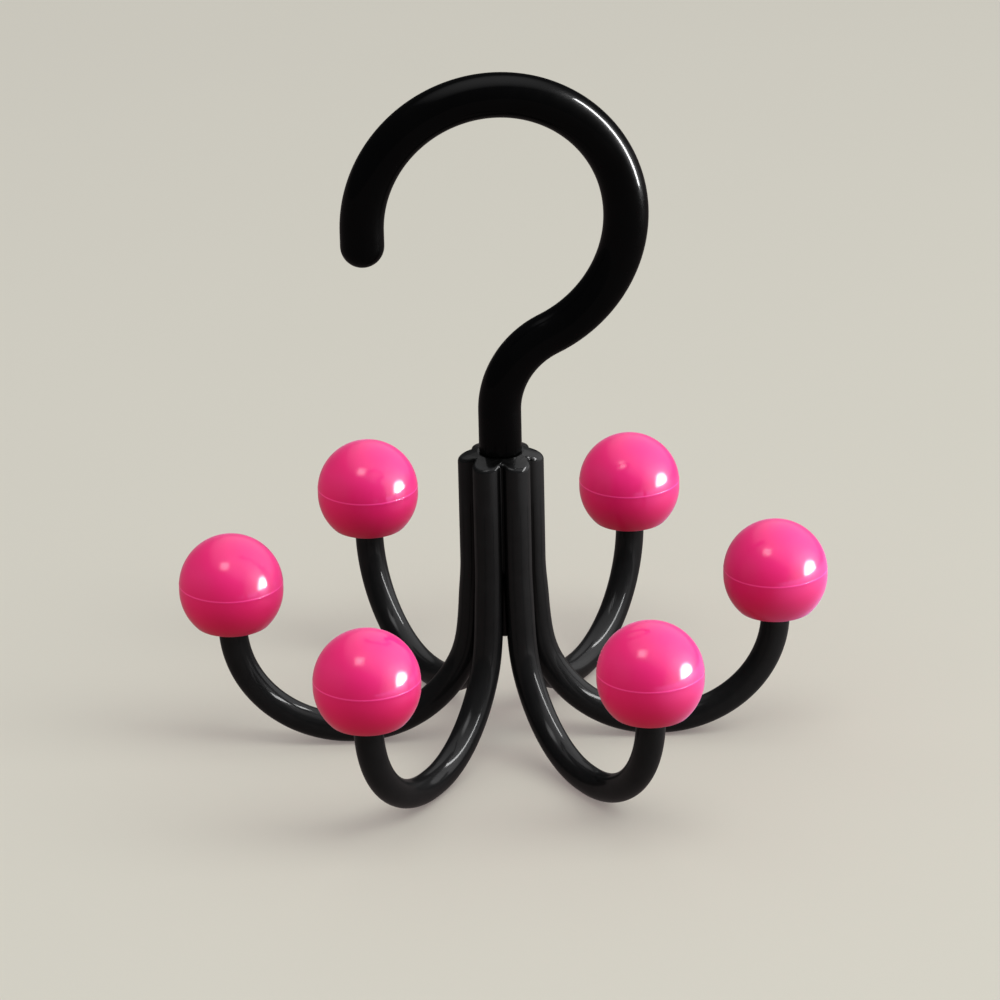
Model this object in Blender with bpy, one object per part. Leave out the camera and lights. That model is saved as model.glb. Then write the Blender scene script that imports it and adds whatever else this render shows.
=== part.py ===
"""Rotating closet hook.

A round question-mark hook swivels in the top of a column. The column is six J-shaped arms round a hollow
core, and each arm ends in a ball. Metres, +Z up. The origin is on the table, under the column's axis, and
arm_1 points along +X.
"""

import math

import bmesh
import bpy
from mathutils import Matrix, Vector

# Gaps: between pieces that touch, and round the piece that turns
SEAT_GAP = 0.0003
BEARING_CLEARANCE = 0.0003

# Arms: round rods, straight down the column, out to a foot and up again
ARM_COUNT = 6
ARM_RADIUS = 0.00325
ARM_STEM_OFFSET = 0.0063
ARM_REACH = 0.0610
INNER_BEND_WIDTH = 0.0272
INNER_BEND_HEIGHT = 0.0310
FOOT_LENGTH = 0.0012
OUTER_BEND_HEIGHT = 0.0256
ARM_END_CHAMFER = 0.0006
ARM_SIDES = 16
BEND_STEPS = 11

# Ball tips: a half ball on a short straight waist on a ball's lower half, cut flat, with a blind socket
BALL_RADIUS = 0.0117
BALL_CENTRE_HEIGHT = 0.0392
BALL_WAIST = 0.0008
BALL_BASE_DROP = 0.0090
BALL_BASE_ROUND = 0.0007
SOCKET_DEPTH = 0.0100
BALL_SIDES = 24
BALL_STEPS = 7

# Column: the core's flat top, the cone of the arms' tops round it, and the core's lower end
COLUMN_TOP = 0.0705
CORE_RADIUS = 0.0052
CORE_FLOOR = 0.0270
CORE_EDGE = 0.0004
CONE_DROP = 0.0022
RIM_ROUND = 0.0008
CORE_SIDES = 32

# Keys: one on each stem, in a slot of the core
KEY_DEPTH = 0.0008
KEY_FLOOR = 0.0400
KEY_LENGTH = 0.0220

# Swivel: the hook's journal in the core, held by a washer and a screw in a counterbore
JOURNAL_RADIUS = 0.0030
COUNTERBORE_DEPTH = 0.0075
WASHER_RADIUS = 0.0038
WASHER_THICKNESS = 0.0008
SCREW_RADIUS = 0.0014
SCREW_LENGTH = 0.0100
SCREW_POINT = 0.0016
SCREW_HEAD_RADIUS = 0.0028
SCREW_HEAD_HEIGHT = 0.0018
SCREW_HEAD_EDGE = 0.0006
RECESS_LENGTH = 0.0015
RECESS_WIDTH = 0.0008
RECESS_DEPTH = 0.0011
SWIVEL_SIDES = 24

# Hook: shank, neck, lower sweep, ring and tip, and how far it is turned from the first arm. The rod is
# thickest where the sweep meets the ring.
SHANK_RADIUS = 0.00477
HOOK_RADIUS = 0.0050
TIP_RADIUS = 0.00483
SHANK_LENGTH = 0.0090
SHANK_EDGE = 0.0004
NECK_RADIUS = 0.0189
NECK_ANGLE = math.radians(65.7)
NECK_STRAIGHT = 0.0004
SWEEP_RADIUS = 0.0295
SWEEP_ANGLE = math.radians(72)
RING_RADIUS = 0.0291
TIP_STRAIGHT = 0.0033
HOOK_TURN = math.radians(7.4)
HOOK_SIDES = 24
HOOK_STEP_ANGLE = math.radians(8)
TIP_STEPS = 5

# Materials: colour, roughness, metallic
BLACK_PLASTIC = ("black_plastic", (0.012, 0.012, 0.013), 0.22, 0.0)
PINK_PLASTIC = ("pink_plastic", (0.82, 0.012, 0.16), 0.20, 0.0)
ZINC_STEEL = ("zinc_steel", (0.55, 0.56, 0.58), 0.35, 1.0)

# Sizes that follow
ARM_CORNER = ARM_RADIUS / math.cos(math.pi / ARM_SIDES)
KEY_WIDTH = 2 * ARM_CORNER * math.sin(math.pi / ARM_SIDES)
ARM_ANGLE = 2 * math.pi / ARM_COUNT
CORE_CLEAR = CORE_RADIUS + SEAT_GAP
FOOT_START = ARM_STEM_OFFSET + INNER_BEND_WIDTH
FOOT_END = FOOT_START + FOOT_LENGTH
OUTER_BEND_WIDTH = ARM_REACH - FOOT_END
BALL_BASE = BALL_CENTRE_HEIGHT - BALL_BASE_DROP
SOCKET_RADIUS = ARM_CORNER + SEAT_GAP
ARM_END = BALL_BASE + SOCKET_DEPTH - SEAT_GAP
CONE_SLOPE = CONE_DROP / (ARM_STEM_OFFSET + ARM_RADIUS - CORE_RADIUS)
BORE_RADIUS = JOURNAL_RADIUS + BEARING_CLEARANCE
COUNTERBORE_TOP = CORE_FLOOR + COUNTERBORE_DEPTH
COUNTERBORE_RADIUS = WASHER_RADIUS + BEARING_CLEARANCE
HOOK_FOOT = COLUMN_TOP + BEARING_CLEARANCE
JOURNAL_END = COUNTERBORE_TOP - BEARING_CLEARANCE
WASHER_TOP = JOURNAL_END - SEAT_GAP
HEAD_TOP = WASHER_TOP - WASHER_THICKNESS - SEAT_GAP
PILOT_RADIUS = SCREW_RADIUS + SEAT_GAP
PILOT_TOP = HEAD_TOP + SCREW_LENGTH + SEAT_GAP
RING_ANGLE = math.pi + NECK_ANGLE - SWEEP_ANGLE


def clear_scene():
    for obj in list(bpy.data.objects):
        bpy.data.objects.remove(obj, do_unlink=True)


def make_material(name, colour, roughness, metallic):
    material = bpy.data.materials.new(name)
    material.use_nodes = True
    shader = material.node_tree.nodes["Principled BSDF"]
    shader.inputs["Base Color"].default_value = (*colour, 1.0)
    shader.inputs["Roughness"].default_value = roughness
    shader.inputs["Metallic"].default_value = metallic
    return material


def loft(name, rings, material, closed=False):
    """Mesh skinned over rings of points. A ring of one point closes an end, and closed joins last to first."""
    bm = bmesh.new()
    loops = [[bm.verts.new(point) for point in ring] for ring in rings]
    pairs = list(zip(loops, loops[1:]))
    if closed:
        pairs.append((loops[-1], loops[0]))
    for lower, upper in pairs:
        count = max(len(lower), len(upper))
        for i in range(count):
            corners = [lower[i % len(lower)], lower[(i + 1) % len(lower)]]
            corners += [upper[(i + 1) % len(upper)], upper[i % len(upper)]]
            bm.faces.new(list(dict.fromkeys(corners)))
    bmesh.ops.recalc_face_normals(bm, faces=bm.faces)
    return finish_mesh(bm, name, material)


def finish_mesh(bm, name, material):
    mesh = bpy.data.meshes.new(name)
    bm.to_mesh(mesh)
    bm.free()
    mesh.shade_smooth()
    mesh.set_sharp_from_angle(angle=math.radians(35))
    mesh.materials.append(material)
    return mesh


def add_object(name, mesh, parent, angle=0.0, place=(0.0, 0.0, 0.0)):
    obj = bpy.data.objects.new(name, mesh)
    bpy.context.scene.collection.objects.link(obj)
    obj.parent = parent
    obj.location = place
    obj.rotation_euler.z = angle
    return obj


def add_empty(name, height, angle=0.0):
    return add_object(name, None, None, angle, (0.0, 0.0, height))


def circle(radius, height, sides):
    """Level ring of points round the Z axis, or the single point on it."""
    if radius == 0:
        return [Vector((0.0, 0.0, height))]
    turns = [2 * math.pi * i / sides for i in range(sides)]
    return [Vector((radius * math.cos(a), radius * math.sin(a), height)) for a in turns]


def turned(name, profile, sides, material, closed=False):
    """Body turned about Z from (radius, height) points."""
    return loft(name, [circle(r, z, sides) for r, z in profile], material, closed)


def arm_path():
    """The rod's axis as (point, direction) in the XZ plane, from the end of the straight stem to the ball."""
    quarter = [math.pi / 2 * i / BEND_STEPS for i in range(BEND_STEPS + 1)]
    path = []
    for a in quarter:
        point = (
            ARM_STEM_OFFSET + INNER_BEND_WIDTH * (1 - math.cos(a)),
            ARM_RADIUS + INNER_BEND_HEIGHT * (1 - math.sin(a)),
        )
        path.append((point, (INNER_BEND_WIDTH * math.sin(a), -INNER_BEND_HEIGHT * math.cos(a))))
    for a in quarter:
        point = (
            FOOT_END + OUTER_BEND_WIDTH * math.sin(a),
            ARM_RADIUS + OUTER_BEND_HEIGHT * (1 - math.cos(a)),
        )
        path.append((point, (OUTER_BEND_WIDTH * math.cos(a), OUTER_BEND_HEIGHT * math.sin(a))))
    return path


def keep_in_sixth(point):
    """Moves a point of a stem's side clear of the neighbouring stems and of the core."""
    half = ARM_ANGLE / 2
    widest = (point.x * math.sin(half) - SEAT_GAP / 2) / math.cos(half)
    y = max(-widest, min(widest, point.y))
    x = max(point.x, math.sqrt(max(CORE_CLEAR**2 - y**2, 0.0)))
    return Vector((x, y, point.z))


def arm_ring(point, direction, corner=ARM_CORNER):
    """Section of the rod, square to its direction, with one flat facet on the under side."""
    length = math.hypot(*direction)
    under = Vector((direction[1] / length, 0.0, -direction[0] / length))
    across = Vector((0.0, 1.0, 0.0))
    centre = Vector((point[0], 0.0, point[1]))
    turns = [2 * math.pi * (i + 0.5) / ARM_SIDES for i in range(ARM_SIDES)]
    ring = [centre + corner * (math.cos(a) * under + math.sin(a) * across) for a in turns]
    return [keep_in_sixth(p) for p in ring]


def stem_top_ring(inset, drop):
    """Section of the stem pulled in by inset and laid on the column's cone, drop below it."""
    down = (0.0, -1.0)
    ring = arm_ring((ARM_STEM_OFFSET, COLUMN_TOP), down, ARM_CORNER - inset)
    for p in ring:
        p.z = COLUMN_TOP - CONE_SLOPE * (math.hypot(p.x, p.y) - CORE_RADIUS) - drop
    return ring


def arm_mesh(material):
    stem = ARM_STEM_OFFSET
    down = (0.0, -1.0)
    up = (0.0, 1.0)
    mid_top = (CORE_CLEAR + stem + ARM_RADIUS) / 2
    corner_cut = RIM_ROUND * (1 - math.sqrt(0.5))
    rings = [[Vector((mid_top, 0.0, COLUMN_TOP - CONE_SLOPE * (mid_top - CORE_RADIUS)))]]
    rings.append(stem_top_ring(RIM_ROUND, 0.0))
    rings.append(stem_top_ring(corner_cut, corner_cut))
    rings.append(stem_top_ring(0.0, RIM_ROUND))
    rings.append(arm_ring((stem, KEY_FLOOR + KEY_LENGTH), down))
    rings.append(arm_ring((stem, KEY_FLOOR), down))
    rings += [arm_ring(point, direction) for point, direction in arm_path()]
    rings.append(arm_ring((ARM_REACH, ARM_END - ARM_END_CHAMFER), up))
    rings.append(arm_ring((ARM_REACH, ARM_END), up, ARM_CORNER - ARM_END_CHAMFER))
    rings.append([Vector((ARM_REACH, 0.0, ARM_END))])
    mesh = loft("arm", rings, material)
    draw_out_key(mesh)
    return mesh


def draw_out_key(mesh):
    """Pulls the stem's innermost facet, between the key's two levels, in towards the core's axis."""
    bm = bmesh.new()
    bm.from_mesh(mesh)
    middle = KEY_FLOOR + KEY_LENGTH / 2
    facing_core = [f for f in bm.faces if f.calc_center_median().x < CORE_CLEAR]
    facet = min(facing_core, key=lambda f: (f.calc_center_median() - Vector((CORE_CLEAR, 0.0, middle))).length)
    drawn = bmesh.ops.extrude_discrete_faces(bm, faces=[facet])["faces"]
    bmesh.ops.translate(bm, verts=drawn[0].verts, vec=(-KEY_DEPTH, 0.0, 0.0))
    bm.to_mesh(mesh)
    bm.free()
    mesh.set_sharp_from_angle(angle=math.radians(35))


def ball_profile():
    """Half section of a ball tip as (radius, height above the base), from the socket's end round to the top."""
    base_centre = BALL_BASE_DROP - BALL_WAIST
    inner = BALL_RADIUS - BALL_BASE_ROUND
    round_height = BALL_BASE_ROUND - base_centre
    round_place = math.sqrt(inner**2 - round_height**2)
    lean = math.atan2(round_height, round_place)
    profile = [(0.0, SOCKET_DEPTH), (SOCKET_RADIUS, SOCKET_DEPTH), (SOCKET_RADIUS, 0.0)]
    for i in range(3):
        a = -math.pi / 2 + (lean + math.pi / 2) * i / 2
        profile.append((round_place + BALL_BASE_ROUND * math.cos(a), BALL_BASE_ROUND * (1 + math.sin(a))))
    for i in range(1, 5):
        a = lean * (1 - i / 4)
        profile.append((BALL_RADIUS * math.cos(a), base_centre + BALL_RADIUS * math.sin(a)))
    for i in range(BALL_STEPS):
        a = math.pi / 2 * i / BALL_STEPS
        profile.append((BALL_RADIUS * math.cos(a), BALL_BASE_DROP + BALL_RADIUS * math.sin(a)))
    profile.append((0.0, BALL_BASE_DROP + BALL_RADIUS))
    return profile


def core_mesh(material):
    """Sleeve with the journal's bore, the counterbore below it and a chamfered lower edge."""
    profile = [
        (BORE_RADIUS, COLUMN_TOP),
        (CORE_RADIUS, COLUMN_TOP),
        (CORE_RADIUS, CORE_FLOOR + CORE_EDGE),
        (CORE_RADIUS - CORE_EDGE, CORE_FLOOR),
        (COUNTERBORE_RADIUS, CORE_FLOOR),
        (COUNTERBORE_RADIUS, COUNTERBORE_TOP),
        (BORE_RADIUS, COUNTERBORE_TOP),
    ]
    return turned("hub_core", profile, CORE_SIDES, material, closed=True)


def key_slot_cutter(parent):
    """Six blocks, one for each key and its gaps, that reach out past the core's side."""
    bm = bmesh.new()
    inner = CORE_CLEAR - KEY_DEPTH - SEAT_GAP
    outer = CORE_CLEAR + SEAT_GAP
    size = (outer - inner, KEY_WIDTH + 2 * SEAT_GAP, KEY_LENGTH + 2 * SEAT_GAP)
    centre = ((outer + inner) / 2, 0.0, KEY_FLOOR + KEY_LENGTH / 2)
    for i in range(ARM_COUNT):
        turn = Matrix.Rotation(ARM_ANGLE * i, 4, "Z")
        bmesh.ops.create_cube(bm, size=1, matrix=turn @ Matrix.Translation(centre) @ Matrix.Diagonal((*size, 1)))
    mesh = bpy.data.meshes.new("key_slot_cutter")
    bm.to_mesh(mesh)
    bm.free()
    cutter = add_object("key_slot_cutter", mesh, parent)
    cutter.hide_render = True
    cutter.display_type = "WIRE"
    return cutter


def cut(obj, cutter):
    modifier = obj.modifiers.new("cut", "BOOLEAN")
    modifier.operation = "DIFFERENCE"
    modifier.solver = "EXACT"
    modifier.object = cutter


def hook_path():
    """The hook's axis in its own plane as (across, height, heading, radius), from the hub up and round to the tip."""
    across, height, heading = 0.0, HOOK_FOOT + SHANK_LENGTH, math.pi / 2
    path = [(across, height, heading, SHANK_RADIUS)]

    def arc(bend, angle, side, start_radius, end_radius):
        nonlocal across, height, heading
        centre = (across - side * bend * math.sin(heading), height + side * bend * math.cos(heading))
        first = heading
        steps = max(1, round(angle / HOOK_STEP_ANGLE))
        for i in range(1, steps + 1):
            heading = first + side * angle * i / steps
            across = centre[0] + side * bend * math.sin(heading)
            height = centre[1] - side * bend * math.cos(heading)
            radius = start_radius + (end_radius - start_radius) * i / steps
            path.append((across, height, heading, radius))

    def straight(length, radius):
        nonlocal across, height
        across += length * math.cos(heading)
        height += length * math.sin(heading)
        path.append((across, height, heading, radius))

    arc(NECK_RADIUS, NECK_ANGLE, -1, SHANK_RADIUS, SHANK_RADIUS)
    straight(NECK_STRAIGHT, SHANK_RADIUS)
    arc(SWEEP_RADIUS, SWEEP_ANGLE, 1, SHANK_RADIUS, HOOK_RADIUS)
    arc(RING_RADIUS, RING_ANGLE, 1, HOOK_RADIUS, TIP_RADIUS)
    straight(TIP_STRAIGHT, TIP_RADIUS)
    return path


def hook_ring(across, height, heading, radius):
    """Section of the hook, square to its heading. It starts on the outer side, away from the ring's centre."""
    outer = Vector((math.sin(heading), 0.0, -math.cos(heading)))
    side = Vector((0.0, 1.0, 0.0))
    centre = Vector((across, 0.0, height))
    turns = [2 * math.pi * i / HOOK_SIDES for i in range(HOOK_SIDES)]
    return [centre + radius * (math.cos(a) * outer + math.sin(a) * side) for a in turns]


def hook_mesh(material):
    """Pilot hole, journal, shoulder, shank and hook, with a round tip. Heights are from the column's top."""
    profile = [
        (0.0, PILOT_TOP),
        (PILOT_RADIUS, PILOT_TOP),
        (PILOT_RADIUS, JOURNAL_END),
        (JOURNAL_RADIUS, JOURNAL_END),
        (JOURNAL_RADIUS, HOOK_FOOT),
        (SHANK_RADIUS - SHANK_EDGE, HOOK_FOOT),
        (SHANK_RADIUS, HOOK_FOOT + SHANK_EDGE),
    ]
    rings = [circle(radius, height, HOOK_SIDES) for radius, height in profile]
    path = hook_path()
    rings += [hook_ring(*place) for place in path]
    across, height, heading, radius = path[-1]
    ahead = (math.cos(heading), math.sin(heading))
    for i in range(1, TIP_STEPS):
        a = math.pi / 2 * i / TIP_STEPS
        reach = radius * math.sin(a)
        place = (across + ahead[0] * reach, height + ahead[1] * reach)
        rings.append(hook_ring(*place, heading, radius * math.cos(a)))
    rings.append([Vector((across + ahead[0] * radius, 0.0, height + ahead[1] * radius))])
    lowered = [[p - Vector((0.0, 0.0, COLUMN_TOP)) for p in ring] for ring in rings]
    return loft("swivel_hook", lowered, material)


def washer_mesh(material):
    top = WASHER_TOP - COLUMN_TOP
    floor = top - WASHER_THICKNESS
    profile = [(PILOT_RADIUS, floor), (PILOT_RADIUS, top), (WASHER_RADIUS, top), (WASHER_RADIUS, floor)]
    return turned("swivel_washer", profile, SWIVEL_SIDES, material, closed=True)


def recess_ring(scale, height):
    """Outline of the screw's cross recess as one ring round its axis."""
    ring = []
    half = RECESS_WIDTH / 2
    for p in circle(1, height, SWIVEL_SIDES):
        along, beside = max(abs(p.x), abs(p.y)), min(abs(p.x), abs(p.y))
        radius = RECESS_LENGTH / along
        if beside * radius > half:
            radius = half / beside
        ring.append(Vector((p.x * radius * scale, p.y * radius * scale, height)))
    return ring


def screw_mesh(material):
    """Pan-head screw, point up, with a tapered cross recess in its head."""
    head_top = HEAD_TOP - COLUMN_TOP
    head_floor = head_top - SCREW_HEAD_HEIGHT
    point = head_top + SCREW_LENGTH
    recess_top = head_floor + RECESS_DEPTH
    profile = [
        (SCREW_HEAD_RADIUS - SCREW_HEAD_EDGE, head_floor),
        (SCREW_HEAD_RADIUS, head_floor + SCREW_HEAD_EDGE),
        (SCREW_HEAD_RADIUS, head_top),
        (SCREW_RADIUS, head_top),
        (SCREW_RADIUS, point - SCREW_POINT),
        (0.0, point),
    ]
    rings = [circle(0, recess_top, SWIVEL_SIDES), recess_ring(0.6, recess_top), recess_ring(1, head_floor)]
    rings += [circle(radius, height, SWIVEL_SIDES) for radius, height in profile]
    return loft("swivel_screw", rings, material)


def build_arms(root, black, pink):
    arm = arm_mesh(black)
    ball = turned("ball_tip", ball_profile(), BALL_SIDES, pink)
    for i in range(ARM_COUNT):
        angle = ARM_ANGLE * i
        place = (ARM_REACH * math.cos(angle), ARM_REACH * math.sin(angle), BALL_BASE)
        add_object(f"arm_{i + 1}", arm, root, angle)
        add_object(f"ball_tip_{i + 1}", ball, root, angle, place)


def build_core(root, black):
    core = add_object("hub_core", core_mesh(black), root)
    cut(core, key_slot_cutter(root))


def build_hook(pivot, black, zinc):
    add_object("swivel_hook", hook_mesh(black), pivot)
    add_object("swivel_washer", washer_mesh(zinc), pivot)
    add_object("swivel_screw", screw_mesh(zinc), pivot)


def main():
    clear_scene()
    black = make_material(*BLACK_PLASTIC)
    pink = make_material(*PINK_PLASTIC)
    zinc = make_material(*ZINC_STEEL)
    root = add_empty("arm_assembly", 0.0)
    pivot = add_empty("hook_pivot", COLUMN_TOP, HOOK_TURN)
    build_core(root, black)
    build_arms(root, black, pink)
    build_hook(pivot, black, zinc)


main()
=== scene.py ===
"""Looks of the rotating closet hook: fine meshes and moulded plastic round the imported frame.

Metres, +Z up, in the frame of the CAD part: the origin is on the table under the column's axis.
"""

import math

import bmesh
import bpy
from mathutils import Matrix, Vector


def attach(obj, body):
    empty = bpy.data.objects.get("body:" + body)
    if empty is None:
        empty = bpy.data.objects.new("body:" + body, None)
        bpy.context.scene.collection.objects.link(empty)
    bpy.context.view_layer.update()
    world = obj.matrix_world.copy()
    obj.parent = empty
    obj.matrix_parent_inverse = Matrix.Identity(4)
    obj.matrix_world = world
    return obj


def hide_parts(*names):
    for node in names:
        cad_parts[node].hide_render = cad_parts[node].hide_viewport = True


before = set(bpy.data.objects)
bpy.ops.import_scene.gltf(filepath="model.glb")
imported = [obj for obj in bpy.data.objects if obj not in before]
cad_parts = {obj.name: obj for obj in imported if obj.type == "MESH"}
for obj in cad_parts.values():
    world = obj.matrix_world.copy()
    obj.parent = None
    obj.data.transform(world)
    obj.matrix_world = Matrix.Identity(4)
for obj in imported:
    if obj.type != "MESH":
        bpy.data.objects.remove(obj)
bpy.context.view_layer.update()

# Arms, as in the frame: round rods down the column, out to a foot and up into a ball
ARM_COUNT = 6
ARM_RADIUS = 0.00325
ARM_STEM_OFFSET = 0.0063
ARM_REACH = 0.0610
INNER_BEND_WIDTH = 0.0272
INNER_BEND_HEIGHT = 0.0310
FOOT_LENGTH = 0.0012
OUTER_BEND_HEIGHT = 0.0256
ARM_END_CHAMFER = 0.0006
ARM_SIDES = 64
BEND_STEPS = 36
STEM_GAP = 0.00001

# Arms, in the looks alone: filled grooves with shade painted into them, and stems that lean out a little
# above their bends
GROOVE_FLOOR = 0.00705
# Painted shade in the grooves: full within the first radius, faded out by the second
GROOVE_SHADE_FULL_RADIUS = 0.0075
GROOVE_SHADE_END_RADIUS = 0.0085
FLARE_REACH = 0.0007
FLARE_HEIGHT = 0.0315
FLARE_SPAN = 0.0130
FLARE_STEPS = 10

# Ball tips
BALL_RADIUS = 0.0117
BALL_CENTRE_HEIGHT = 0.0392
BALL_WAIST = 0.0008
BALL_BASE_DROP = 0.0090
BALL_BASE_ROUND = 0.0007
SOCKET_DEPTH = 0.0100
SOCKET_GAP = 0.00006
SEAM_RISE = 0.0010
SEAM_HEIGHT = 0.00003
SEAM_WIDTH = 0.00034
SEAM_SHARES = (-1.0, -0.5, 0.0, 0.5, 1.0)
SHADE_DEPTH = 0.0100
BALL_SIDES = 96
BALL_BASE_STEPS = 6
BALL_LOWER_STEPS = 20
BALL_UPPER_STEPS = 36

# Column
COLUMN_TOP = 0.0705
CORE_RADIUS = 0.0052
CORE_FLOOR = 0.0270
CORE_EDGE = 0.0004
TOP_SETTLE = 0.00035
CONE_DROP = 0.0014
RIM_ROUND = 0.0008
RIM_STEPS = 5

# Swivel
JOURNAL_RADIUS = 0.0030
RUNNING_GAP = 0.0003
FOOT_GAP = 0.00012
COUNTERBORE_DEPTH = 0.0075
WASHER_RADIUS = 0.0038
WASHER_THICKNESS = 0.0008
SCREW_RADIUS = 0.0014
SCREW_HEAD_RADIUS = 0.0028
SCREW_HEAD_HEIGHT = 0.0018
SCREW_HEAD_EDGE = 0.0006
SCREW_HEAD_STEPS = 6
RECESS_LENGTH = 0.0015
RECESS_WIDTH = 0.0008
RECESS_DEPTH = 0.0011
RECESS_FLOOR_SHARE = 0.5

# Hook
SHANK_RADIUS = 0.00477
HOOK_RADIUS = 0.0050
TIP_RADIUS = 0.00483
SHANK_LENGTH = 0.0090
SHANK_EDGE = 0.0004
NECK_RADIUS = 0.0189
NECK_ANGLE = math.radians(65.7)
NECK_STRAIGHT = 0.0004
SWEEP_RADIUS = 0.0295
SWEEP_ANGLE = math.radians(72)
RING_RADIUS = 0.0291
TIP_STRAIGHT = 0.0033
HOOK_TURN = math.radians(7.4)
HOOK_SIDES = 72
HOOK_STEP_ANGLE = math.radians(2)
SHANK_EDGE_STEPS = 4
TIP_STEPS = 16

# Meshes: the least angle at which an edge is shaded sharp
SHARP_ANGLE = math.radians(40)

# Colours, where a pair is the two ends of a mottle
HOOK_BLACKS = ((0.0010, 0.0010, 0.0011), (0.0022, 0.0022, 0.0024))
ARM_BLACKS = ((0.0032, 0.0032, 0.0034), (0.0076, 0.0076, 0.0079))
# Painted shade for the grooves between the stems
GROOVE_PAINTED_SHADE = (0.0008, 0.0008, 0.0008)
UPPER_PINKS = ((0.65, 0.011, 0.122), (0.71, 0.015, 0.136))
# Painted shade: the balls' pink darkened towards the bottom, below the moulding line
SHADED_LOWER_PINK = (0.58, 0.0015, 0.038)
# Painted highlight: a lighter line along the balls' raised moulding line
SEAM_HIGHLIGHT_PINK = (0.80, 0.035, 0.19)
BALL_SHEEN_TINT = (1.0, 0.9, 1.0, 1.0)
ZINC_GREYS = ((0.50, 0.51, 0.53), (0.62, 0.62, 0.61))
TABLE_PAINTS = ((0.492, 0.501, 0.420), (0.504, 0.513, 0.430))
TABLE_OWN_LIGHT = (0.19, 0.16, 0.155, 1.0)
NO_COLOUR = (0.0, 0.0, 0.0)
WORLD_COLOUR = (0.93, 0.94, 0.95, 1.0)

# Shader sockets of the colour mix, whose names repeat for each kind of data
MIX_ENDS = (6, 7)
MIX_RESULT = 2

# Stage, with the floor and the surroundings dimmer in gloss than they look
FLOOR_SIZE = 6.0
FLOOR_CELLS = 4
WORLD_STRENGTH = 0.67
WORLD_IN_GLOSS = 0.1
FLOOR_IN_GLOSS = 0.0

# Lamps: panels, most of them at one distance and facing a point above the table
LIGHT_AIM_HEIGHT = 0.06
PANEL_DISTANCE = 0.9
UPWARD = (0.0, 0.0, 1.0)
BACKWARD = (0.0, 1.0, 0.0)
WHITE = (1.0, 1.0, 1.0)
BALL_KEY_TINT = (0.85, 0.95, 1.5)
BALL_TABLE_TINT = (0.7, 0.4, 1.0)
TABLE_GLOW_SIZE = (0.92, 1.0)
TABLE_GLOW_PLACE = (0.5, -0.3, 0.001)

# Camera: the photograph's viewing angle, with the arms' frame turned a little against it
IMAGE_SIZE = 1000
SENSOR_WIDTH = 36.0
CAMERA_TURN = math.radians(0.684)
CAMERA_ELEVATION = math.radians(23.206)
CAMERA_ROLL = math.radians(1.293)
CAMERA_DISTANCE = 1.1838
CAMERA_FOCAL_PIXELS = 5316.4
AIM_HEIGHT = 0.0582
AIM_SIDE = -0.00037

# Sizes that follow
ARM_ANGLE = 2 * math.pi / ARM_COUNT
BEND_TOP = ARM_RADIUS + INNER_BEND_HEIGHT
FLARE_TOP = FLARE_HEIGHT + FLARE_SPAN
FOOT_START = ARM_STEM_OFFSET + INNER_BEND_WIDTH
FOOT_END = FOOT_START + FOOT_LENGTH
OUTER_BEND_WIDTH = ARM_REACH - FOOT_END
BALL_BASE = BALL_CENTRE_HEIGHT - BALL_BASE_DROP
ARM_END = BALL_BASE + SOCKET_DEPTH
SEAM_LEVEL = BALL_CENTRE_HEIGHT + SEAM_RISE
CONE_SLOPE = CONE_DROP / (ARM_STEM_OFFSET + ARM_RADIUS - CORE_RADIUS)
BORE_RADIUS = JOURNAL_RADIUS + RUNNING_GAP
BORE_EDGE = CORE_EDGE / 2
COUNTERBORE_TOP = CORE_FLOOR + COUNTERBORE_DEPTH
COUNTERBORE_RADIUS = WASHER_RADIUS + RUNNING_GAP
TOP_SHOWN = COLUMN_TOP - TOP_SETTLE
HOOK_FOOT = TOP_SHOWN + FOOT_GAP
SHANK_END = COLUMN_TOP + RUNNING_GAP + SHANK_LENGTH
JOURNAL_END = COUNTERBORE_TOP - RUNNING_GAP
WASHER_FLOOR = JOURNAL_END - WASHER_THICKNESS
WASHER_EDGE = WASHER_THICKNESS / 6
RING_ANGLE = math.pi + NECK_ANGLE - SWEEP_ANGLE


# Shapes
def loft(name, rings, closed=False):
    """Object skinned over rings of points, where a ring of one point is a closed end.

    With closed, the last ring joins the first.
    """
    bm = bmesh.new()
    loops = [[bm.verts.new(point) for point in ring] for ring in rings]
    pairs = list(zip(loops, loops[1:]))
    if closed:
        pairs.append((loops[-1], loops[0]))
    for lower, upper in pairs:
        count = max(len(lower), len(upper))
        for i in range(count):
            corners = [lower[i % len(lower)], lower[(i + 1) % len(lower)]]
            corners += [upper[(i + 1) % len(upper)], upper[i % len(upper)]]
            bm.faces.new(list(dict.fromkeys(corners)))
    bmesh.ops.recalc_face_normals(bm, faces=bm.faces)
    mesh = bpy.data.meshes.new(name)
    bm.to_mesh(mesh)
    bm.free()
    mesh.shade_smooth()
    mesh.set_sharp_from_angle(angle=SHARP_ANGLE)
    obj = bpy.data.objects.new(name, mesh)
    bpy.context.scene.collection.objects.link(obj)
    return obj


def dress(obj, material, body, node):
    """Gives a piece its material and the body that it rides on, and hides the imported node that it stands
    for.
    """
    obj.data.materials.append(material)
    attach(obj, body)
    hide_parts(node)
    return obj


def circle(radius, height, sides):
    """Level ring of points round the Z axis, or the single point on it."""
    if radius == 0:
        return [Vector((0.0, 0.0, height))]
    turns = [2 * math.pi * i / sides for i in range(sides)]
    return [Vector((radius * math.cos(a), radius * math.sin(a), height)) for a in turns]


def turned(name, profile, sides, closed=False):
    """Body turned about Z from (radius, height) points."""
    return loft(name, [circle(r, z, sides) for r, z in profile], closed)


def quarter_turn(steps):
    """Angles from 0 to a right angle."""
    return [math.pi / 2 * i / steps for i in range(steps + 1)]


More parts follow.
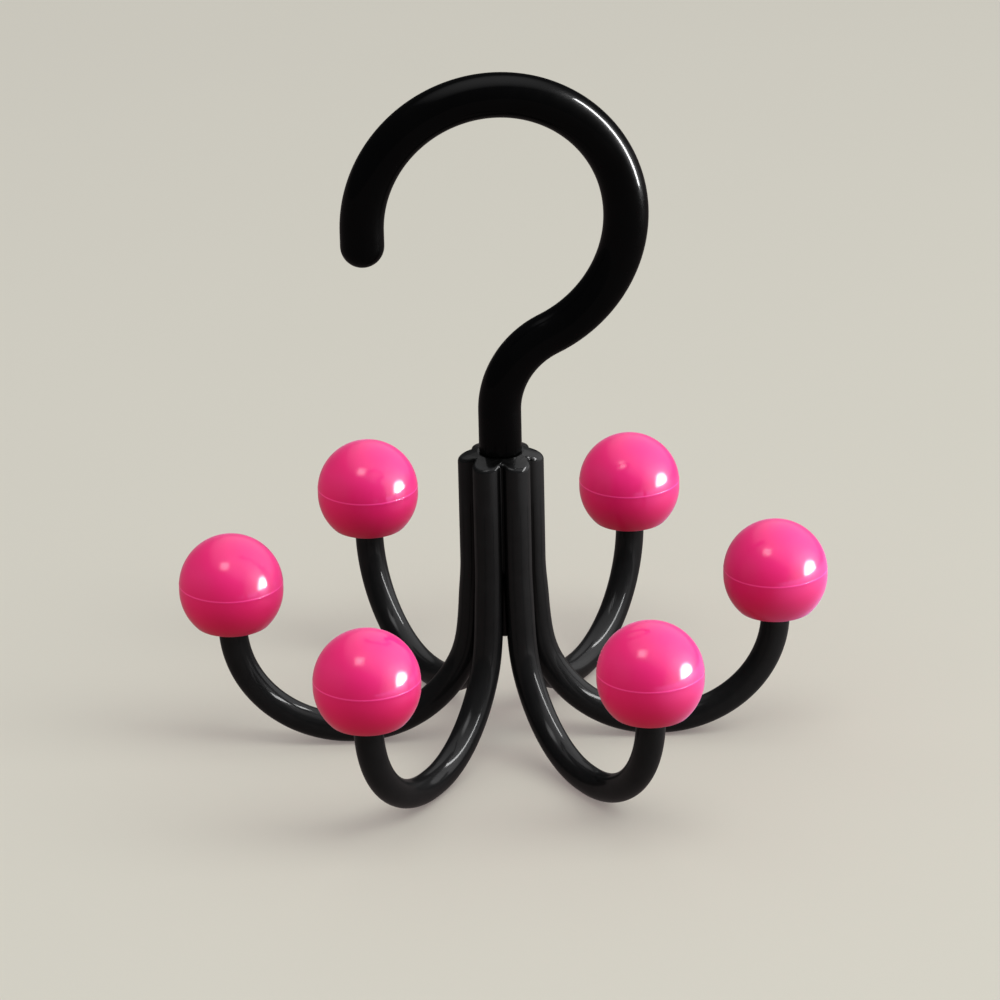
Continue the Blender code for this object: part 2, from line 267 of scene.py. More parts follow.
def stem_flare(height):
    """How far the rod leans out of the frame's line above the inner bend, and the change with height."""
    share = (height - FLARE_HEIGHT) / FLARE_SPAN
    if abs(share) >= 1:
        return 0.0, 0.0
    shift = FLARE_REACH * math.cos(math.pi / 2 * share) ** 2
    slope = -FLARE_REACH / FLARE_SPAN * math.pi / 2 * math.sin(math.pi * share)
    return shift, slope


def arm_path():
    """The rod's axis as (point, direction) in the XZ plane, from the straight stem's end to the ball."""
    path = []
    for i in range(FLARE_STEPS):
        height = FLARE_TOP + (BEND_TOP - FLARE_TOP) * i / FLARE_STEPS
        shift, slope = stem_flare(height)
        path.append(((ARM_STEM_OFFSET + shift, height), (-slope, -1.0)))
    for a in quarter_turn(BEND_STEPS):
        height = ARM_RADIUS + INNER_BEND_HEIGHT * (1 - math.sin(a))
        shift, slope = stem_flare(height)
        across = ARM_STEM_OFFSET + INNER_BEND_WIDTH * (1 - math.cos(a)) + shift
        fall = -INNER_BEND_HEIGHT * math.cos(a)
        path.append(((across, height), (INNER_BEND_WIDTH * math.sin(a) + slope * fall, fall)))
    for a in quarter_turn(BEND_STEPS):
        across = FOOT_END + OUTER_BEND_WIDTH * math.sin(a)
        height = ARM_RADIUS + OUTER_BEND_HEIGHT * (1 - math.cos(a))
        path.append(((across, height), (OUTER_BEND_WIDTH * math.cos(a), OUTER_BEND_HEIGHT * math.sin(a))))
    return path


def keep_in_sixth(point):
    """Moves a point of a stem's side clear of the neighbouring stems and of the core."""
    half = ARM_ANGLE / 2
    widest = (point.x * math.sin(half) - STEM_GAP / 2) / math.cos(half)
    y = max(-widest, min(widest, point.y))
    x = max(point.x, math.sqrt(max((CORE_RADIUS + STEM_GAP) ** 2 - y**2, 0.0)))
    return Vector((x, y, point.z))


def groove_fillet(offset):
    """Rounded floor between two stems that touch, as (radius, centre, first angle, last angle) or None."""
    cosine, sine = math.cos(ARM_ANGLE / 2), math.sin(ARM_ANGLE / 2)
    if offset * sine >= ARM_RADIUS:
        return None
    parting = ARM_RADIUS / sine
    share = (offset - ARM_STEM_OFFSET) / (parting - ARM_STEM_OFFSET)
    floor = GROOVE_FLOOR + share * (offset * cosine - GROOVE_FLOOR)
    excess = ARM_RADIUS**2 - floor**2 + 2 * offset * cosine * floor - offset**2
    radius = excess / (2 * (floor - offset * cosine - ARM_RADIUS))
    reach = floor + radius
    crossing = offset * cosine + math.sqrt(ARM_RADIUS**2 - (offset * sine) ** 2)
    first = math.atan2(reach * sine, reach * cosine - offset)
    last = math.atan2(crossing * sine, crossing * cosine - offset)
    return radius, (reach * cosine - offset, reach * sine), first, last


def section_point(angle, offset, inset):
    """Point of the rod's section from its centre as (outward, sideways), pulled in on the free side."""
    fillet = groove_fillet(offset)
    turn = abs(angle)
    side = math.copysign(1.0, angle)
    if fillet is None or turn <= fillet[2]:
        radius = ARM_RADIUS - inset
        return radius * math.cos(turn), side * radius * math.sin(turn)
    radius, centre, first, last = fillet
    if turn >= last:
        return ARM_RADIUS * math.cos(turn), side * ARM_RADIUS * math.sin(turn)
    bend = first + math.pi + (ARM_ANGLE / 2 - first) * (turn - first) / (last - first)
    radius += inset
    return centre[0] + radius * math.cos(bend), side * (centre[1] + radius * math.sin(bend))


def arm_ring(point, direction, inset=0.0):
    """The rod's section at a point of its axis, square to a direction."""
    length = math.hypot(*direction)
    outward = Vector((-direction[1] / length, 0.0, direction[0] / length))
    centre = Vector((point[0], 0.0, point[1]))
    ring = []
    for i in range(ARM_SIDES):
        angle = math.pi - 2 * math.pi * (i + 0.5) / ARM_SIDES
        out, side = section_point(angle, point[0], inset)
        ring.append(keep_in_sixth(centre + out * outward + Vector((0.0, side, 0.0))))
    return ring


def stem_top_ring(inset, drop):
    """Section of the stem pulled in by inset and laid on the column's cone, drop below it."""
    ring = arm_ring((ARM_STEM_OFFSET, TOP_SHOWN), (0.0, -1.0), inset)
    for p in ring:
        p.z = TOP_SHOWN - CONE_SLOPE * (math.hypot(p.x, p.y) - CORE_RADIUS) - drop
    return ring


def arm_rod(name):
    """One arm along +X: cone-cut top with a rounded rim, stem, bends and chamfered end."""
    middle = (CORE_RADIUS + ARM_STEM_OFFSET + ARM_RADIUS) / 2
    rings = [[Vector((middle, 0.0, TOP_SHOWN - CONE_SLOPE * (middle - CORE_RADIUS)))]]
    for a in quarter_turn(RIM_STEPS):
        rings.append(stem_top_ring(RIM_ROUND * (1 - math.sin(a)), RIM_ROUND * (1 - math.cos(a))))
    rings += [arm_ring(point, direction) for point, direction in arm_path()]
    rings.append(arm_ring((ARM_REACH, ARM_END - ARM_END_CHAMFER), (0.0, 1.0)))
    rings.append(arm_ring((ARM_REACH, ARM_END), (0.0, 1.0), ARM_END_CHAMFER))
    rings.append([Vector((ARM_REACH, 0.0, ARM_END))])
    return loft(name, rings)


def ball_profile():
    """Half section of a ball tip as (radius, height above its base), from the socket round to the top."""
    base_centre = BALL_BASE_DROP - BALL_WAIST
    inner = BALL_RADIUS - BALL_BASE_ROUND
    round_height = BALL_BASE_ROUND - base_centre
    round_place = math.sqrt(inner**2 - round_height**2)
    lean = math.atan2(round_height, round_place)
    socket = ARM_RADIUS + SOCKET_GAP
    profile = [(0.0, SOCKET_DEPTH), (socket, SOCKET_DEPTH), (socket, 0.0)]
    for i in range(BALL_BASE_STEPS + 1):
        a = -math.pi / 2 + (lean + math.pi / 2) * i / BALL_BASE_STEPS
        profile.append((round_place + BALL_BASE_ROUND * math.cos(a), BALL_BASE_ROUND * (1 + math.sin(a))))
    for i in range(1, BALL_LOWER_STEPS + 1):
        a = lean * (1 - i / BALL_LOWER_STEPS)
        profile.append((BALL_RADIUS * math.cos(a), base_centre + BALL_RADIUS * math.sin(a)))
    seam_angle = math.asin(SEAM_RISE / BALL_RADIUS)
    seam_half = SEAM_WIDTH / 2 / BALL_RADIUS
    profile.append((BALL_RADIUS, BALL_BASE_DROP))
    for share in SEAM_SHARES:
        a = seam_angle + seam_half * share
        radius = BALL_RADIUS + SEAM_HEIGHT * math.cos(share * math.pi / 2) ** 2
        profile.append((radius * math.cos(a), BALL_BASE_DROP + radius * math.sin(a)))
    above = seam_angle + 2 * seam_half
    for i in range(BALL_UPPER_STEPS):
        a = above + (math.pi / 2 - above) * i / BALL_UPPER_STEPS
        profile.append((BALL_RADIUS * math.cos(a), BALL_BASE_DROP + BALL_RADIUS * math.sin(a)))
    profile.append((0.0, BALL_BASE_DROP + BALL_RADIUS))
    return profile


def hub_sleeve():
    """The core, with the journal's bore and a counterbore for the washer and the screw's head."""
    profile = [
        (BORE_RADIUS + BORE_EDGE, TOP_SHOWN),
        (CORE_RADIUS, TOP_SHOWN),
        (CORE_RADIUS, CORE_FLOOR + CORE_EDGE),
        (CORE_RADIUS - CORE_EDGE, CORE_FLOOR),
        (COUNTERBORE_RADIUS + BORE_EDGE, CORE_FLOOR),
        (COUNTERBORE_RADIUS, CORE_FLOOR + BORE_EDGE),
        (COUNTERBORE_RADIUS, COUNTERBORE_TOP),
        (BORE_RADIUS, COUNTERBORE_TOP),
        (BORE_RADIUS, TOP_SHOWN - BORE_EDGE),
    ]
    return turned("hub_sleeve", profile, ARM_SIDES, closed=True)


def hook_path():
    """The hook's axis in its own plane as (across, height, heading, radius), from the shank to the tip."""
    across, height, heading = 0.0, SHANK_END, math.pi / 2
    path = [(across, height, heading, SHANK_RADIUS)]

    def arc(bend, angle, side, start_radius, end_radius):
        nonlocal across, height, heading
        centre = (across - side * bend * math.sin(heading), height + side * bend * math.cos(heading))
        first = heading
        steps = max(1, round(angle / HOOK_STEP_ANGLE))
        for i in range(1, steps + 1):
            heading = first + side * angle * i / steps
            across = centre[0] + side * bend * math.sin(heading)
            height = centre[1] - side * bend * math.cos(heading)
            radius = start_radius + (end_radius - start_radius) * i / steps
            path.append((across, height, heading, radius))

    def straight(length, radius):
        nonlocal across, height
        across += length * math.cos(heading)
        height += length * math.sin(heading)
        path.append((across, height, heading, radius))

    arc(NECK_RADIUS, NECK_ANGLE, -1, SHANK_RADIUS, SHANK_RADIUS)
    straight(NECK_STRAIGHT, SHANK_RADIUS)
    arc(SWEEP_RADIUS, SWEEP_ANGLE, 1, SHANK_RADIUS, HOOK_RADIUS)
    arc(RING_RADIUS, RING_ANGLE, 1, HOOK_RADIUS, TIP_RADIUS)
    straight(TIP_STRAIGHT, TIP_RADIUS)
    return path


def hook_ring(across, height, heading, radius):
    """The hook rod's round section at a place of its axis, square to its heading."""
    outer = Vector((math.sin(heading), 0.0, -math.cos(heading)))
    side = Vector((0.0, 1.0, 0.0))
    centre = Vector((across, 0.0, height))
    turns = [2 * math.pi * i / HOOK_SIDES for i in range(HOOK_SIDES)]
    return [centre + radius * (math.cos(a) * outer + math.sin(a) * side) for a in turns]


def hook_rod():
    """Journal, shoulder, shank and hook with its round tip, turned to its place at rest."""
    profile = [(JOURNAL_END, JOURNAL_RADIUS), (HOOK_FOOT, JOURNAL_RADIUS)]
    for a in quarter_turn(SHANK_EDGE_STEPS):
        radius = SHANK_RADIUS - SHANK_EDGE * (1 - math.sin(a))
        profile.append((HOOK_FOOT + SHANK_EDGE * (1 - math.cos(a)), radius))
    rings = [circle(0, JOURNAL_END, 1)]
    rings += [hook_ring(0.0, height, math.pi / 2, radius) for height, radius in profile]
    path = hook_path()
    rings += [hook_ring(*place) for place in path]
    across, height, heading, radius = path[-1]
    ahead = (math.cos(heading), math.sin(heading))
    for a in quarter_turn(TIP_STEPS)[1:-1]:
        reach = radius * math.sin(a)
        place = (across + ahead[0] * reach, height + ahead[1] * reach)
        rings.append(hook_ring(*place, heading, radius * math.cos(a)))
    rings.append([Vector((across + ahead[0] * radius, 0.0, height + ahead[1] * radius))])
    obj = loft("hook_rod", rings)
    obj.data.transform(Matrix.Rotation(HOOK_TURN, 4, "Z"))
    return obj


def washer_ring():
    profile = [
        (SCREW_RADIUS, WASHER_FLOOR),
        (SCREW_RADIUS, JOURNAL_END),
        (WASHER_RADIUS, JOURNAL_END),
        (WASHER_RADIUS, WASHER_FLOOR + WASHER_EDGE),
        (WASHER_RADIUS - WASHER_EDGE, WASHER_FLOOR),
    ]
    return turned("retaining_washer", profile, ARM_SIDES, closed=True)


def recess_ring(scale, height):
    """Outline of the screw's cross recess as one ring round its axis."""
    ring = []
    half = RECESS_WIDTH / 2
    for p in circle(1, height, ARM_SIDES):
        along, beside = max(abs(p.x), abs(p.y)), min(abs(p.x), abs(p.y))
        radius = RECESS_LENGTH / along
        if beside * radius > half:
            radius = half / beside
        ring.append(Vector((p.x * radius * scale, p.y * radius * scale, height)))
    return ring


def screw_head():
    """The screw's head with its cross recess, and its shank through the washer to the journal."""
    floor = WASHER_FLOOR - SCREW_HEAD_HEIGHT
    recess_top = floor + RECESS_DEPTH
    rings = [circle(0, recess_top, ARM_SIDES)]
    rings += [recess_ring(RECESS_FLOOR_SHARE, recess_top), recess_ring(1, floor)]
    for a in quarter_turn(SCREW_HEAD_STEPS):
        radius = SCREW_HEAD_RADIUS - SCREW_HEAD_EDGE * (1 - math.sin(a))
        rings.append(circle(radius, floor + SCREW_HEAD_EDGE * (1 - math.cos(a)), ARM_SIDES))
    rings.append(circle(SCREW_HEAD_RADIUS, WASHER_FLOOR, ARM_SIDES))
    rings.append(circle(SCREW_RADIUS, WASHER_FLOOR, ARM_SIDES))
    rings.append(circle(SCREW_RADIUS, WASHER_FLOOR + WASHER_THICKNESS, ARM_SIDES))
    rings.append(circle(0, WASHER_FLOOR + WASHER_THICKNESS, ARM_SIDES))
    return loft("retaining_screw", rings)


# Materials
class Nodes:
    """Small helper that adds and links shader nodes of one material."""

    def __init__(self, name):
        self.material = bpy.data.materials.new(name)
        self.material.use_nodes = True
        self.tree = self.material.node_tree
        self.shader = self.tree.nodes["Principled BSDF"]
        self.place = self.add("ShaderNodeTexCoord").outputs["Object"]

    def add(self, kind, **settings):
        node = self.tree.nodes.new(kind)
        for name, value in settings.items():
            setattr(node, name, value)
        return node

    def link(self, source, target):
        self.tree.links.new(source, target)

    def noise(self, scale, detail=2.0, roughness=0.5):
        node = self.add("ShaderNodeTexNoise")
        node.inputs["Scale"].default_value = scale
        node.inputs["Detail"].default_value = detail
        node.inputs["Roughness"].default_value = roughness
        self.link(self.place, node.inputs["Vector"])
        return node.outputs["Fac"]

    def ramp(self, source, low, high, start=0.0, end=1.0):
        node = self.add("ShaderNodeMapRange")
        node.inputs["From Min"].default_value = start
        node.inputs["From Max"].default_value = end
        node.inputs["To Min"].default_value = low
        node.inputs["To Max"].default_value = high
        self.link(source, node.inputs["Value"])
        return node.outputs["Result"]

    def mix(self, factor, first, second):
        node = self.add("ShaderNodeMix", data_type="RGBA")
        self.link(factor, node.inputs["Factor"])
        for end, value in zip(MIX_ENDS, (first, second)):
            if isinstance(value, tuple):
                node.inputs[end].default_value = (*value, 1.0)
            else:
                self.link(value, node.inputs[end])
        return node.outputs[MIX_RESULT]

    def bump(self, height, strength, distance, below=None):
        node = self.add("ShaderNodeBump")
        node.inputs["Strength"].default_value = strength
        node.inputs["Distance"].default_value = distance
        self.link(height, node.inputs["Height"])
        if below is not None:
            self.link(below, node.inputs["Normal"])
        return node.outputs["Normal"]


def gloss_layers(n, gloss, specular, coat, coat_roughness):
    """Broad sheen of the plastic itself under the sharp gloss of its moulded skin."""
    cloudy = n.noise(scale=140.0, detail=4.0, roughness=0.6)
    n.link(n.ramp(cloudy, *gloss, start=0.3, end=0.7), n.shader.inputs["Roughness"])
    n.shader.inputs["Specular IOR Level"].default_value = specular
    n.shader.inputs["Coat Weight"].default_value = coat
    n.shader.inputs["Coat Roughness"].default_value = coat_roughness


def moulded_skin(n, peel, grain):
    """Faint orange peel with finer grain on it, each as (scale, strength, depth) of its bump."""
    scale, strength, depth = peel
    normal = n.bump(n.noise(scale, detail=2.0), strength, depth)
    scale, strength, depth = grain
    normal = n.bump(n.noise(scale, detail=3.0), strength, depth, normal)
    n.link(normal, n.shader.inputs["Normal"])
    n.link(normal, n.shader.inputs["Coat Normal"])


def hook_black():
    n = Nodes("black_plastic_hook")
    n.link(n.mix(n.noise(scale=90.0, detail=3.0), *HOOK_BLACKS), n.shader.inputs["Base Color"])
    gloss_layers(n, gloss=(0.25, 0.35), specular=0.02, coat=0.12, coat_roughness=0.07)
    moulded_skin(n, peel=(420.0, 0.05, 0.0002), grain=(2600.0, 0.03, 0.00003))
    return n.material


def arm_black():
    """The arms' black, with shade painted darker into the grooves, by distance from the column's axis."""
    n = Nodes("black_plastic_arms")
    open_skin = n.mix(n.noise(scale=260.0, detail=4.0, roughness=0.6), *ARM_BLACKS)
    across = n.add("ShaderNodeVectorMath", operation="MULTIPLY")
    across.inputs[1].default_value = (1.0, 1.0, 0.0)
    n.link(n.place, across.inputs[0])
    radius = n.add("ShaderNodeVectorMath", operation="LENGTH")
    n.link(across.outputs["Vector"], radius.inputs[0])
    # Painted shade: darkest in the grooves, fading out by distance from the column's axis
    beyond_groove_shade = n.ramp(radius.outputs["Value"], 0.0, 1.0, start=GROOVE_SHADE_FULL_RADIUS, end=GROOVE_SHADE_END_RADIUS)
    n.link(n.mix(beyond_groove_shade, GROOVE_PAINTED_SHADE, open_skin), n.shader.inputs["Base Color"])
    gloss_layers(n, gloss=(0.38, 0.52), specular=0.055, coat=0.33, coat_roughness=0.09)
    moulded_skin(n, peel=(420.0, 0.05, 0.0002), grain=(2600.0, 0.04, 0.00003))
    return n.material


def ball_pink():
    """The balls' pink, with shade painted deeper below the moulding line and a highlight painted lighter
    along it.
    """
    n = Nodes("pink_plastic_balls")
    height = n.add("ShaderNodeSeparateXYZ")
    n.link(n.place, height.inputs["Vector"])
    upper = n.mix(n.noise(scale=90.0, detail=3.0), *UPPER_PINKS)
    # Painted shade: darker towards the bottom, fading in from below the moulding line
    shade_floor = SEAM_LEVEL - SHADE_DEPTH
    shade_top = SEAM_LEVEL + SHADE_DEPTH / 2
    below = n.ramp(height.outputs["Z"], 1.0, 0.0, start=shade_floor, end=shade_top)
    shaded = n.mix(below, upper, SHADED_LOWER_PINK)
    # Painted highlight: a lighter band along the moulding line
    from_seam = n.add("ShaderNodeMath", operation="COMPARE")
    from_seam.inputs[1].default_value = SEAM_LEVEL
    from_seam.inputs[2].default_value = SEAM_WIDTH / 2
    n.link(height.outputs["Z"], from_seam.inputs[0])
    n.link(n.mix(from_seam.outputs["Value"], shaded, SEAM_HIGHLIGHT_PINK), n.shader.inputs["Base Color"])
    gloss_layers(n, gloss=(0.42, 0.50), specular=0.07, coat=0.35, coat_roughness=0.12)
    n.shader.inputs["Sheen Weight"].default_value = 0.25
    n.shader.inputs["Sheen Roughness"].default_value = 0.3
    n.shader.inputs["Sheen Tint"].default_value = BALL_SHEEN_TINT
    moulded_skin(n, peel=(420.0, 0.04, 0.0002), grain=(2600.0, 0.03, 0.00003))
    return n.material


def plated_steel():
    n = Nodes("zinc_steel_look")
    n.link(n.mix(n.noise(scale=900.0, detail=3.0), *ZINC_GREYS), n.shader.inputs["Base Color"])
    n.shader.inputs["Metallic"].default_value = 1.0
    n.link(n.ramp(n.noise(scale=1500.0, detail=3.0), low=0.22, high=0.42), n.shader.inputs["Roughness"])
    spangle = n.bump(n.noise(scale=4000.0, detail=2.0), strength=0.3, distance=0.00002)
    n.link(spangle, n.shader.inputs["Normal"])
    return n.material


def dimmed_in_gloss(tree, share):
    """Value 1, or the share for rays that come from a glossy reflection."""
    dimmed = tree.nodes.new("ShaderNodeMapRange")
    dimmed.inputs["To Min"].default_value = 1.0
    dimmed.inputs["To Max"].default_value = share
    tree.links.new(tree.nodes.new("ShaderNodeLightPath").outputs["Is Glossy Ray"], dimmed.inputs["Value"])
    return dimmed.outputs["Result"]


def seen_directly(n):
    """Value 1 for rays from the camera and for those that a glossy or clear surface sends on, else 0."""
    path = n.add("ShaderNodeLightPath")
    seen = path.outputs["Is Camera Ray"]
    for name in ("Is Glossy Ray", "Is Transmission Ray"):
        either = n.add("ShaderNodeMath", operation="MAXIMUM")
        n.link(seen, either.inputs[0])
        n.link(path.outputs[name], either.inputs[1])
        seen = either.outputs["Value"]
    return seen


def table_paint():
    """Pale paint with a little light of its own, which keeps the shadows as light as the photo's."""
    n = Nodes("table_top")
    painted = n.mix(n.noise(scale=9.0, detail=3.0), *TABLE_PAINTS)
    shown = n.mix(dimmed_in_gloss(n.tree, FLOOR_IN_GLOSS), NO_COLOUR, painted)
    n.link(shown, n.shader.inputs["Base Color"])
    n.shader.inputs["Roughness"].default_value = 0.7
    n.shader.inputs["Specular IOR Level"].default_value = 0.2
    n.shader.inputs["Emission Color"].default_value = TABLE_OWN_LIGHT
    n.link(seen_directly(n), n.shader.inputs["Emission Strength"])
    brushed = n.bump(n.noise(scale=700.0, detail=2.0), strength=0.1, distance=0.0001)
    n.link(brushed, n.shader.inputs["Normal"])
    return n.material


# Pieces
def build_object():
    """Every piece on its body. The balls show in no gloss, as they hardly do in the photograph."""
    glossy = hook_black()
    black = arm_black()
    pink = ball_pink()
    zinc = plated_steel()
    arm_pieces = []
    pink_pieces = []
    for i in range(ARM_COUNT):
        turn = Matrix.Rotation(ARM_ANGLE * i, 4, "Z")
        rod = arm_rod(f"arm_rod_{i + 1}")
        rod.data.transform(turn)
        arm_pieces.append(dress(rod, black, "arms", f"arm_{i + 1}"))
        ball = turned(f"ball_{i + 1}", ball_profile(), BALL_SIDES)
        ball.data.transform(turn @ Matrix.Translation((ARM_REACH, 0.0, BALL_BASE)))
        ball.visible_glossy = False
        pink_pieces.append(dress(ball, pink, "arms", f"ball_tip_{i + 1}"))
    arm_pieces.append(dress(hub_sleeve(), black, "arms", "hub_core"))
    hook_pieces = [dress(hook_rod(), glossy, "hook", "swivel_hook")]
    dress(washer_ring(), zinc, "hook", "swivel_washer")
    dress(screw_head(), zinc, "hook", "swivel_screw")
    return hook_pieces, arm_pieces, pink_pieces


# Stage
def build_floor():
    bm = bmesh.new()
    bmesh.ops.create_grid(bm, x_segments=FLOOR_CELLS, y_segments=FLOOR_CELLS, size=FLOOR_SIZE / 2)
    mesh = bpy.data.meshes.new("table_top")
    bm.to_mesh(mesh)
    bm.free()
    mesh.materials.append(table_paint())
    floor = bpy.data.objects.new("table_top", mesh)
    bpy.context.scene.collection.objects.link(floor)


def camera_axes():
    """The camera's right, up and back directions before its roll, in the object's frame."""
    turn = Matrix.Rotation(-CAMERA_TURN, 3, "Z")
    right = turn @ Vector((1.0, 0.0, 0.0))
    up = turn @ Vector((0.0, math.sin(CAMERA_ELEVATION), math.cos(CAMERA_ELEVATION)))
    back = turn @ Vector((0.0, -math.cos(CAMERA_ELEVATION), math.sin(CAMERA_ELEVATION)))
    return right, up, back


def build_camera():
    right, up, back = camera_axes()
    across = math.cos(CAMERA_ROLL) * right - math.sin(CAMERA_ROLL) * up
    upward = math.sin(CAMERA_ROLL) * right + math.cos(CAMERA_ROLL) * up
    data = bpy.data.cameras.new("camera")
    data.sensor_width = SENSOR_WIDTH
    data.lens = CAMERA_FOCAL_PIXELS / IMAGE_SIZE * SENSOR_WIDTH
    camera = bpy.data.objects.new("camera", data)
    place = Vector((0.0, 0.0, AIM_HEIGHT)) + CAMERA_DISTANCE * back + AIM_SIDE * right
    rotation = Matrix((across, upward, back)).transposed().to_4x4()
    camera.matrix_world = Matrix.Translation(place) @ rotation
    bpy.context.scene.collection.objects.link(camera)
    bpy.context.scene.camera = camera


# Lamps
def view_direction(x, y, z):
    """Direction from camera coordinates, where x is right, y is up and z is towards the camera."""
    right, up, back = camera_axes()
    return (x * right + y * up + z * back).normalized()


def add_panel(name, direction, size, radiance, distance=PANEL_DISTANCE, along=UPWARD, tint=WHITE):
    """Rectangular lamp of a given brightness that faces the object, its height turned along a direction."""
    data = bpy.data.lights.new(name, "AREA")
    data.shape = "RECTANGLE"
    data.size, data.size_y = size
    data.energy = math.pi * size[0] * size[1] * radiance
    data.color = tint
    lamp = bpy.data.objects.new(name, data)
    back = Vector(direction).normalized()
    upward = (Vector(along) - Vector(along).dot(back) * back).normalized()
    rotation = Matrix((upward.cross(back), upward, back)).transposed().to_4x4()
    place = Vector((0.0, 0.0, LIGHT_AIM_HEIGHT)) + distance * back
    lamp.matrix_world = Matrix.Translation(place) @ rotation
    bpy.context.scene.collection.objects.link(lamp)
    return lamp


def light_only(lamp, pieces):
    """Keeps a lamp's light to some pieces."""
    group = bpy.data.collections.new(lamp.name + "_pieces")
    for piece in pieces:
        group.objects.link(piece)
    lamp.light_linking.receiver_collection = group


def reflection_for(lamp, pieces):
    """Keeps a lamp's light to the gloss of some pieces."""
    lamp.visible_diffuse = False
    lamp.visible_camera = False
    light_only(lamp, pieces)


def soft_edged(lamp):
    """Makes a panel brightest in its middle and fades it to nothing at its edges."""
    lamp.data.use_nodes = True
    tree = lamp.data.node_tree
    place = tree.nodes.new("ShaderNodeSeparateXYZ")
    tree.links.new(tree.nodes.new("ShaderNodeNewGeometry").outputs["Parametric"], place.inputs["Vector"])

    def product(first, second):
        node = tree.nodes.new("ShaderNodeMath")
        node.operation = "MULTIPLY"
        tree.links.new(first, node.inputs[0])
        if isinstance(second, float):
            node.inputs[1].default_value = second
        else:
            tree.links.new(second, node.inputs[1])
        return node.outputs["Value"]

    def hump(value):
        """Value 0 at both edges and 1 in the middle."""
        other = tree.nodes.new("ShaderNodeMath")
        other.operation = "SUBTRACT"
        other.inputs[0].default_value = 1.0
        tree.links.new(value, other.inputs[1])
        return product(product(value, other.outputs["Value"]), 4.0)

    strength = product(hump(place.outputs["X"]), hump(place.outputs["Y"]))
    tree.links.new(strength, tree.nodes["Emission"].inputs["Strength"])
    return lamp


def table_glow(name, radiance, tint=WHITE):
    """Lamp that lies on the table to the right, where the window would shine on it, and faces up."""
    lamp = add_panel(name, UPWARD, TABLE_GLOW_SIZE, radiance, along=BACKWARD, tint=tint)
    lamp.matrix_world = Matrix.Translation(TABLE_GLOW_PLACE) @ Matrix.Rotation(math.pi, 4, "X")
    return lamp


def light_the_scene(arm_pieces, pink_pieces):
    """A softbox and a fill for everything, and lamps for the balls and the arms alone. Gloss shows none."""
    softbox = add_panel(
        "overhead_softbox", (0.46, -0.26, 1.0), size=(1.9, 0.7), radiance=2.15, distance=1.4, along=BACKWARD
    )
    fill = add_panel(
        "right_fill", view_direction(0.7, 0.45, 0.55), size=(0.9, 0.9), radiance=0.4, distance=1.1
    )
    ball_key = add_panel(
        "ball_key", view_direction(0.85, 0.4, 0.2), size=(0.9, 0.9), radiance=5.4, tint=BALL_KEY_TINT
    )
    ball_fill = add_panel(
        "ball_fill", view_direction(-0.95, -0.05, 0.15), size=(1.6, 1.6), radiance=1.4, distance=1.2
    )
    arm_key = add_panel("arm_key", view_direction(0.9, 0.1, 0.4), size=(0.9, 0.9), radiance=5.4)
    for lamp in (softbox, fill, ball_key, ball_fill, arm_key):
        lamp.visible_glossy = False
    light_only(ball_key, pink_pieces)
    light_only(ball_fill, pink_pieces)
    light_only(arm_key, arm_pieces)


def light_ball_gloss(pink_pieces):
    """What the balls mirror: the window and its glow, a sheen from above, a lamp and the lit table."""
    upright = view_direction(0.0, 1.0, 0.0)
    window = add_panel(
        "window",
        view_direction(0.987, -0.03, 0.161),
        size=(1.35, 1.3),
        radiance=100.0,
        distance=2.0,
        along=upright,
    )
    window.data.shape = "ELLIPSE"
    sheen = add_panel(
        "ball_sheen", view_direction(0.40, 0.85, 0.15), size=(4.0, 3.6), radiance=2.6, along=upright
    )
    glow = add_panel(
        "window_glow", view_direction(0.92, -0.2, 0.3), size=(1.8, 1.8), radiance=3.0, along=upright
    )
    lamp = add_panel(
        "ball_lamp", view_direction(-0.246, 0.668, 0.703), size=(0.36, 0.36), radiance=16.0, along=upright
    )
    table = table_glow("ball_table_glow", radiance=12.5, tint=BALL_TABLE_TINT)
    for panel in (window, sheen, glow, lamp, table):
        reflection_for(soft_edged(panel), pink_pieces)


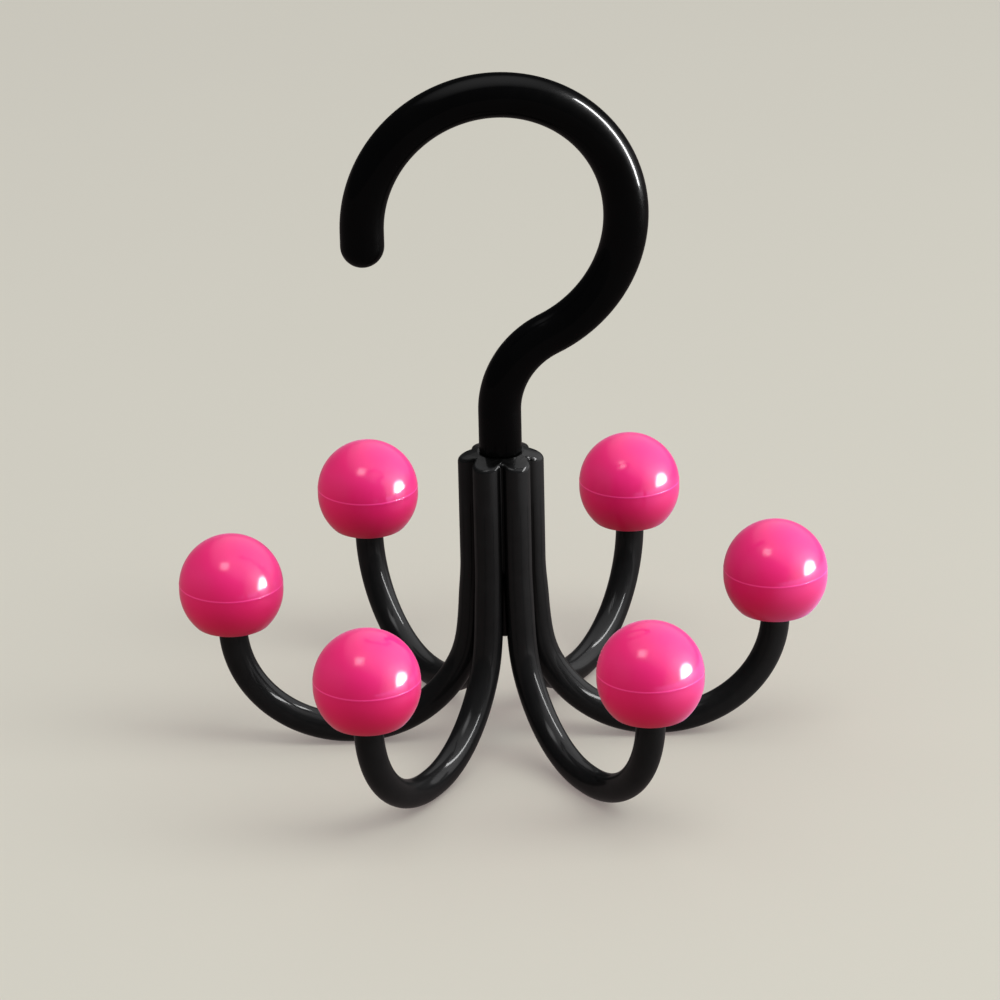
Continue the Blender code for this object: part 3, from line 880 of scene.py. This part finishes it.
def light_hook_gloss(hook_pieces):
    """What the hook mirrors: a long strip at its right and a glow from above."""
    upright = view_direction(0.0, 1.0, 0.0)
    slant = view_direction(0.70, 0.70, 0.10) - view_direction(0.97, -0.22, -0.08)
    strip = add_panel(
        "hook_strip", view_direction(0.961, 0.276, 0.01), size=(0.14, 1.02), radiance=200.0, along=slant
    )
    glow = add_panel(
        "hook_glow", view_direction(0.1, 0.9, 0.25), size=(1.4, 1.2), radiance=2.4, along=upright
    )
    reflection_for(strip, hook_pieces)
    reflection_for(soft_edged(glow), hook_pieces)


def light_arm_gloss(arm_pieces):
    """What the arms mirror: a strip at their right, a lamp, glows above and beside, and the lit table."""
    upright = view_direction(0.0, 1.0, 0.0)
    ahead = view_direction(0.0, 0.0, 1.0)
    slant = view_direction(0.5, 0.85, -0.1) - view_direction(0.8, 0.1, 0.6)
    strip = add_panel(
        "arm_strip", view_direction(0.77, 0.563, 0.296), size=(0.125, 1.15), radiance=27.0, along=slant
    )
    lamp = add_panel(
        "arm_lamp", view_direction(-0.22, 0.73, 0.64), size=(0.5, 0.45), radiance=4.6, along=upright
    )
    top = add_panel("arm_top", view_direction(0.4, 0.9, 0.05), size=(3.4, 2.8), radiance=1.3, along=ahead)
    side = add_panel(
        "arm_side", view_direction(0.98, 0.12, -0.15), size=(1.8, 1.4), radiance=1.0, along=upright
    )
    table = table_glow("arm_table_glow", radiance=1.3)
    reflection_for(strip, arm_pieces)
    for panel in (lamp, top, side, table):
        reflection_for(soft_edged(panel), arm_pieces)


# World and sizes
def build_world():
    world = bpy.data.worlds.new("studio")
    bpy.context.scene.world = world
    world.use_nodes = True
    tree = world.node_tree
    shader = tree.nodes["Background"]
    shader.inputs["Color"].default_value = WORLD_COLOUR
    strength = tree.nodes.new("ShaderNodeMath")
    strength.operation = "MULTIPLY"
    strength.inputs[1].default_value = WORLD_STRENGTH
    tree.links.new(dimmed_in_gloss(tree, WORLD_IN_GLOSS), strength.inputs[0])
    tree.links.new(strength.outputs["Value"], shader.inputs["Strength"])


hook_pieces, arm_pieces, pink_pieces = build_object()
build_floor()
build_camera()
light_the_scene(arm_pieces, pink_pieces)
light_ball_gloss(pink_pieces)
light_hook_gloss(hook_pieces)
light_arm_gloss(arm_pieces)
build_world()
bpy.context.scene.view_settings.view_transform = "Standard"
